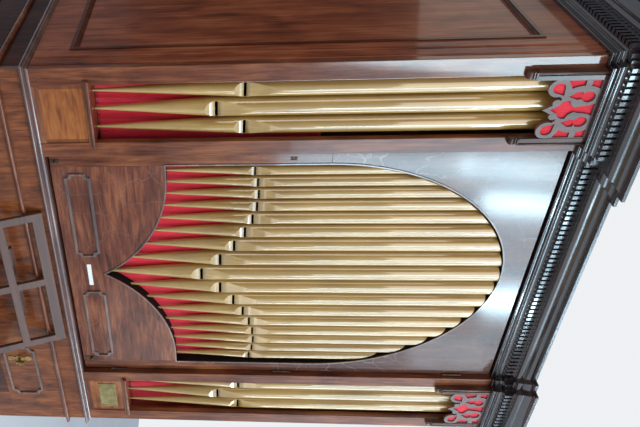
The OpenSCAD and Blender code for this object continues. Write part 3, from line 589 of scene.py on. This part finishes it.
def pipe_sizes(points):
    """Axis, diameter, foot, mouth and top of one plain pipe. Its mouth is where it first reaches
    its full width, and its axis lies half a diameter behind its front."""
    low, high = points.min(axis=0), points.max(axis=0)
    d = high[0] - low[0]
    widest = points[points[:, 0] > high[0] - 0.0002]
    return {"x": (low[0] + high[0]) / 2, "y": low[1] + d / 2, "d": d, "foot": low[2],
            "mouth": widest[:, 2].min(), "top": high[2]}


centre_set = [pipe_sizes(points) for points, _ in separate_solids("centre_pipes")]
tower_set = [pipe_sizes(points) for points, _ in separate_solids("tower_pipes")]
print(len(centre_set), "pipes in the door,", len(tower_set), "in the towers, widest",
      round(max(p["d"] for p in centre_set), 4))

# %% [markdown]
# One surface for every pipe.
# The rows climb the pipe, closer together at the mouth. On each row a few points lie along the
# chord, and the others go round the rest of the circle. The slot is one row of squares left out
# along the chord, and behind it lies the languid, the level plate that turns the wind on to the
# upper lip. Shares are parts of the pipe's own diameter, so every pipe keeps the pattern.

# %% The surface of a pipe
mouth_share = 0.405
slot_share = 0.15
leaf_share = 1.9
lip_share = 0.5
arch_gap = 0.006
tip_radius = 0.004
least_flat = 0.015
most_flat = 0.9
sheet_thick = 0.0012
rim = 0.003
crease = math.radians(28)
foot_rows, lip_rows = 5, 10
flat_stops = np.array([-1, -0.93, -0.5, 0, 0.5, 0.93, 1])
round_columns = 33
languid_rings, languid_points = 4, 24
languid_share = 0.47
windway_share = 0.19


def flat_half_width(z, mouth_z, d):
    """Half the chord at a height. The lip widens nearly as a quarter of an ellipse up to the slot.
    The leaf narrows above it along an arc that ends in a point."""
    slot_top = mouth_z + slot_share * d
    below = np.clip((z - mouth_z + lip_share * d) / (lip_share * d), 0, 1)
    above = np.clip((slot_top + leaf_share * d - z) / (leaf_share * d), 0, 1)
    lip = (1 - (1 - below) ** 2) ** 0.6
    leaf = np.sin(above * math.pi / 2) ** 1.1
    return mouth_share * d * np.where(z < slot_top - 1e-6, lip, leaf)


def under_arch(x):
    """Height of the pipes' tops in the door: an ellipse that stays a gap inside the opening's arch."""
    share = np.clip(x / (opening_half - arch_gap), -1, 1)
    return spring_z + (arch_top - arch_gap - spring_z) * np.sqrt(1 - share ** 2)


def pipe_surface(x, y, d, foot, mouth, top, back, arched):
    """Points and faces of one pipe. Half the chord over the radius is the sine of the angle at
    which the round part begins. Nothing goes further back than the cloth, and in the door the
    top rows follow the arch. A row stands close to each end, so that the end's edge shades no
    more than a rim."""
    slot_top = mouth + slot_share * d
    leaf_top = slot_top + leaf_share * d
    lip_low = mouth - lip_share * d
    lip_climb = mouth - (mouth - lip_low) * (1 - np.linspace(0, 1, lip_rows)) ** 1.5
    leaf_climb = slot_top + (leaf_top - slot_top) * np.sin(np.linspace(0, math.pi / 2, lip_rows))
    climb = np.concatenate([[foot], np.linspace(foot + rim, lip_low, foot_rows)[:-1], lip_climb,
                            leaf_climb, [top - rim, top]])
    radius = tip_radius + (d / 2 - tip_radius) * np.clip((climb - foot) / (mouth - foot), 0, 1)
    half = np.clip(flat_half_width(climb, mouth, d), least_flat * radius, most_flat * radius)
    corner = np.arcsin(half / radius)[:, None]
    turn = corner + (2 * math.pi - 2 * corner) * np.linspace(0, 1, round_columns + 2)[None, 1:-1]
    r = radius[:, None]
    px = x + np.concatenate([half[:, None] * flat_stops[None, :], r * np.sin(turn)], axis=1)
    py = y + np.concatenate([-r * np.cos(corner) * np.ones(len(flat_stops)), -r * np.cos(turn)], axis=1)
    pz = climb[:, None] * np.ones(px.shape)
    if arched:
        pz[-2:] += under_arch(px[-2:]) - top
    points = np.stack([px, np.minimum(py, back), pz], axis=-1).reshape(-1, 3)
    keep = np.ones((len(climb) - 1, px.shape[1]), bool)
    keep[foot_rows + lip_rows - 1, :len(flat_stops) - 1] = False
    return points, grid_faces(*px.shape, True, keep)


def languid(x, y, d, z, back):
    """The level plate inside the mouth: rings of a disc, its front cut off along the windway and
    its rear at the pipe's own back wall."""
    ring = np.linspace(0.02, languid_share, languid_rings)[:, None]
    turn = np.linspace(0, 2 * math.pi, languid_points, endpoint=False)[None, :]
    px = ring * d * np.sin(turn)
    py = np.maximum(-ring * d * np.cos(turn), -windway_share * d)
    points = np.stack([x + px, np.minimum(y + py, back - sheet_thick), np.full(px.shape, z)], axis=-1)
    return points.reshape(-1, 3), grid_faces(languid_rings, languid_points, True)


def joined(parts):
    """Several lots of points and faces as one lot, each lot's face numbers moved past the last."""
    starts = np.cumsum([0] + [len(points) for points, _ in parts[:-1]])
    return (np.concatenate([points for points, _ in parts]),
            np.concatenate([faces + start for (_, faces), start in zip(parts, starts)]))


def pipe_rank(name, node, rank, body, back, arched):
    """All the pipes of a node as one piece of thin sheet, with their languids. The creases of
    lip and leaf are marked sharp, and the sheet's inner side takes the painted shade."""
    parts = []
    for p in rank:
        parts.append(pipe_surface(**p, back=back, arched=arched))
        parts.append(languid(p["x"], p["y"], p["d"], p["mouth"], back))
    piece = make_piece(name, *joined(parts), gold, body, "gilding")
    piece.data.materials.append(pipe_inside_shade)
    piece.data.set_sharp_from_angle(angle=crease)
    wall = piece.modifiers.new("sheet", "SOLIDIFY")
    wall.thickness = sheet_thick
    wall.offset = -1
    wall.material_offset = 1
    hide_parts(node)
    return piece


cloth_gap = 0.0005
for made in (pipe_rank("centre_rank", "centre_pipes", centre_set, "door", door_rear - cloth_gap, True),
             pipe_rank("tower_ranks", "tower_pipes", tower_set, "case", math.inf, False)):
    print(made.name, len(made.data.polygons), "faces before the sheet's thickness")

# %% [markdown]
# Cloth behind the pipes.
# Crimson cloth is tacked to the frame behind the pipes. It hangs in shallow upright folds, which
# go a little deeper near the foot, where nothing stiffens it. Each cloth is a grid whose depth
# is a sum of a few waves across the width. Behind the frets it is stretched flat and cut to
# their outline, so the plain solid of the imported model is kept, and its size is the width
# and height of its box.

# %% Hang the cloths
cloth_thick = 0.0008


def hung_cloth(name, low, high, front_y, fold, waves, seed, body):
    """A cloth between two corners (x, z), its face at front_y and its folds going back from it.
    The folds are three waves of unlike length, deeper towards the foot of the cloth. Gives the
    piece, and its size when it is pulled flat: along the folds, and its height."""
    rng = np.random.default_rng(seed)
    columns, rows = 140, 60
    x = np.linspace(low[0], high[0], columns)[None, :]
    z = np.linspace(low[1], high[1], rows)[:, None]
    width = high[0] - low[0]
    rise = (z - low[1]) / (high[1] - low[1])
    depth = 0.15 + 0.85 * np.clip(1 - rise * 2.2, 0, 1) ** 0.8
    wave = np.zeros((rows, columns))
    for share, count in zip((0.5, 0.3, 0.2), (waves, waves * 1.7, waves * 2.9)):
        phase, lean = rng.uniform(0, 2 * math.pi), rng.uniform(-0.6, 0.6)
        angle = 2 * math.pi * count * (x - low[0]) / width + phase + lean * rise
        wave += share * (0.5 + 0.5 * np.sin(angle))
    y = front_y + fold * depth * wave
    points = np.stack([np.broadcast_to(x, y.shape), y, np.broadcast_to(z, y.shape)], axis=-1)
    piece = make_piece(name, points.reshape(-1, 3), grid_faces(rows, columns, False), crimson, body,
                       "red_cloth")
    steps = np.hypot(np.diff(x, axis=1), np.diff(y, axis=1)).sum(axis=1).mean()
    stuff = piece.modifiers.new("cloth", "SOLIDIFY")
    stuff.thickness = cloth_thick
    stuff.offset = 1
    return piece, (float(steps), high[1] - low[1])


cloth_low, cloth_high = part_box("centre_cloth")
centre_piece, centre_flat = hung_cloth("centre_hanging", (cloth_low.x, cloth_low.z),
                                       (cloth_high.x, cloth_high.z), cloth_low.y + 0.0002,
                                       fold=0.006, waves=23, seed=3, body="door")
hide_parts("centre_cloth")
print("door cloth", [round(v, 3) for v in centre_flat])

for points, triangles in separate_solids("tower_cloths"):
    low, high = points.min(axis=0), points.max(axis=0)
    side = "left" if low[0] < 0 else "right"
    if high[2] - low[2] > 0.5:
        piece, flat = hung_cloth("tower_hanging_" + side, (low[0], low[2]), (high[0], high[2]), low[1],
                                 fold=0.007, waves=7, seed=5, body="case")
        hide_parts("tower_cloths")
    else:
        piece = make_piece("fret_cloth_" + side, points, triangles, crimson, "case", "red_cloth",
                           smooth=False)
        flat = (float(high[0] - low[0]), float(high[2] - low[2]))
        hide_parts("tower_cloths")
    print(piece.name, [round(v, 3) for v in flat])

# %% [markdown]
# A blank label.
# A small card is pinned between the bead frames of the door. Here it is a plain white card with
# nothing on it, a thin bevelled slab whose corners are a little rounded.

# %% The label
corner_points = 24


def rounded_card(name, middle, width, height, thick, radius, finish, body, slot):
    """A flat card facing -Y: its outline is a rectangle whose corners are quarter circles, repeated
    on three rings from the bevelled face to the back, and closed by a fan at each end."""
    turn = np.linspace(0, 2 * math.pi, corner_points, endpoint=False) + math.pi / corner_points / 2
    cx = np.sign(np.cos(turn)) * (width / 2 - radius) + radius * np.cos(turn)
    cz = np.sign(np.sin(turn)) * (height / 2 - radius) + radius * np.sin(turn)
    rings = [(0.0, 0.0), (0.96, 0.0), (1.0, 0.25), (1.0, 1.0), (0.0, 1.0)]
    points = np.concatenate([
        np.stack([middle[0] + cx * share, middle[1] + np.full(corner_points, (depth - 1) * thick),
                  middle[2] + cz * share], axis=-1) for share, depth in rings])
    faces = grid_faces(len(rings), corner_points, True)
    return make_piece(name, points, faces, finish, body, slot, smooth=False)


label_w, label_h, label_thick, label_corner = 0.108, 0.016, 0.0008, 0.0015
label_place = (0.0045, door_front, rail_low.z + 0.083)
rounded_card("blank_card", label_place, label_w, label_h, label_thick, label_corner, label_card, "door",
             "bone")
print("label laid at", [round(v, 4) for v in label_place])

# %% [markdown]
# The photograph's camera.
# The picture was taken from the left of the organ with the camera on its side, so that the
# organ lies along the picture with its top to the right. The place, lens and shift below put
# the case's corners where the picture has them.

# %% Camera
camera_place = Vector((-1.8323, -2.1896, 1.789))
look = Vector((0.5961, 0.797, -0.0971)).normalized()
picture_right = Vector((0.0627, 0.0743, 0.9953))
picture_right = (picture_right - look * picture_right.dot(look)).normalized()
picture_up = picture_right.cross(look)
lens = bpy.data.cameras.new("camera")
lens.lens = 38.995
lens.shift_x = 0.27
lens.shift_y = -0.03
camera = bpy.data.objects.new("camera", lens)
bpy.context.scene.collection.objects.link(camera)
camera.matrix_world = Matrix.Translation(camera_place) @ Matrix(
    (picture_right, picture_up, -look)).transposed().to_4x4()
bpy.context.scene.camera = camera
print("camera at", [round(v, 3) for v in camera_place])

# %% [markdown]
# A pale floor and soft light.
# Six narrow lamps and a weak wide one stand where the camera sees them mirrored in the door and
# its frame, and draw the glare on the polish. Tall soft lamps in front and far to the right draw
# the pale line down each pipe, a large one high in front fills the shadows, and one on the left
# lights that side, with a faint one behind it. The world is dim near the horizon, so the polish
# shows the wood's own colour there, and pale overhead. To the camera itself it is pale all over.

# %% Floor and light
def soft_lamp(name, place, target, width, height, power, tint):
    """A soft rectangular lamp that faces a target."""
    lamp = bpy.data.lights.new(name, "AREA")
    lamp.shape = "RECTANGLE"
    lamp.size, lamp.size_y, lamp.energy, lamp.color = width, height, power, tint
    lamp_object = bpy.data.objects.new(name, lamp)
    bpy.context.scene.collection.objects.link(lamp_object)
    towards = (Vector(target) - Vector(place)).to_track_quat("-Z", "Y")
    lamp_object.location, lamp_object.rotation_euler = place, towards.to_euler()


def seen_in_door(x, z, far):
    """Where a lamp stands that the camera sees mirrored in the door at (x, z): the camera's sight
    line to that point, made longer by the factor far, and turned back at the door's face."""
    reach = camera_place + far * (Vector((x, door_front, z)) - camera_place)
    return reach.x, 2 * door_front - reach.y, reach.z


mirror_far = 2.6
daylight = (0.62, 0.88, 1.0)
organ_middle = (0, 0, 2.0)
glare = (("glare_outer", -0.48, 2.75, 0.17, 0.8, 8), ("glare_left", -0.33, 2.82, 0.16, 0.62, 11),
         ("glare_middle", 0.13, 2.88, 0.2, 0.5, 12), ("glare_right", 0.42, 2.74, 0.42, 0.9, 2.6),
         ("glare_jamb", -0.5, 2.3, 0.16, 1.6, 8), ("glare_stile", -0.89, 2.5, 0.24, 2.2, 27))
for name, x, z, width, height, power in glare:
    soft_lamp(name, seen_in_door(x, z, mirror_far), organ_middle, width, height, power, daylight)
soft_lamp("front_right_high", (3.1, -4.6, 4.1), organ_middle, 2.2, 3.0, 72, (0.6, 0.84, 1.0))
soft_lamp("front_right_low", (3.3, -4.6, 1.9), organ_middle, 2.4, 1.4, 13, (0.9, 0.95, 1.0))
soft_lamp("far_right_tall", (5.3, -2.3, 3.3), organ_middle, 0.55, 3.6, 85, (0.9, 0.97, 1.0))
soft_lamp("sheen_low", seen_in_door(0.36, 1.5, mirror_far), (0, 0, 1.4), 1.1, 0.9, 4, (1.0, 0.97, 0.95))
soft_lamp("high_front", (-0.9, -5.2, 5.2), (0, 0, 1.8), 4.6, 3.2, 125, (1.0, 0.9, 0.8))
soft_lamp("behind_left", (-2.6, 3.9, 4.4), (-0.9, 0.1, 2.6), 1.8, 1.5, 9, (1.0, 0.93, 0.84))
soft_lamp("left_side", (-5.0, -2.5, 2.8), (0, 0, 2.2), 1.6, 3.0, 46, (1.0, 0.95, 0.88))

world = bpy.data.worlds.new("pale_room")
world.use_nodes = True
air = world.node_tree
room = air.nodes["Background"]
path = air.nodes.new("ShaderNodeLightPath")
heading = air.nodes.new("ShaderNodeTexCoord")
towards_sky = air.nodes.new("ShaderNodeVectorMath")
towards_sky.operation = "DOT_PRODUCT"
towards_sky.inputs[1].default_value = (0.5, -0.35, 0.8)
sky = air.nodes.new("ShaderNodeValToRGB")
choice = air.nodes.new("ShaderNodeMix")
choice.data_type = "RGBA"
sky_stops = ((0.05, (0.07, 0.06, 0.055)), (0.9, (0.85, 1.0, 1.2)))
for stop, (place, shade) in zip(sky.color_ramp.elements, sky_stops):
    stop.position, stop.color = place, (*shade, 1.0)
choice.inputs[7].default_value = (0.86, 0.88, 0.9, 1.0)
air.links.new(heading.outputs["Generated"], towards_sky.inputs[0])
air.links.new(towards_sky.outputs["Value"], sky.inputs["Fac"])
air.links.new(path.outputs["Is Camera Ray"], choice.inputs[0])
air.links.new(sky.outputs["Color"], choice.inputs[6])
air.links.new(choice.outputs[2], room.inputs["Color"])
room.inputs["Strength"].default_value = 1.0
bpy.context.scene.world = world
bpy.context.scene.view_settings.view_transform = "Standard"

floor_finish = Finish("pale_floor")
cloudy = floor_finish.noise(floor_finish.here, 0.8, 3.0)
pale = floor_finish.ramp(cloudy, (0.3, (0.6, 0.6, 0.59)), (0.7, (0.66, 0.66, 0.65)))
floor_half, floor_lines = 12, 5
lines = np.linspace(-floor_half, floor_half, floor_lines)
flat_x, flat_y = np.meshgrid(lines, lines)
floor_points = np.stack([flat_x, flat_y, np.zeros_like(flat_x)], axis=-1).reshape(-1, 3)
floor_faces = grid_faces(floor_lines, floor_lines, False)
floor_mesh = bpy.data.meshes.new("floor")
floor_mesh.from_pydata([tuple(p) for p in floor_points], [], floor_faces.tolist())
floor_mesh.materials.append(floor_finish.shade(base_color=pale, roughness=0.7))
floor = bpy.data.objects.new("floor", floor_mesh)
bpy.context.scene.collection.objects.link(floor)
print(len(bpy.data.lights), "lamps, and a floor", 2 * floor_half, "m wide")
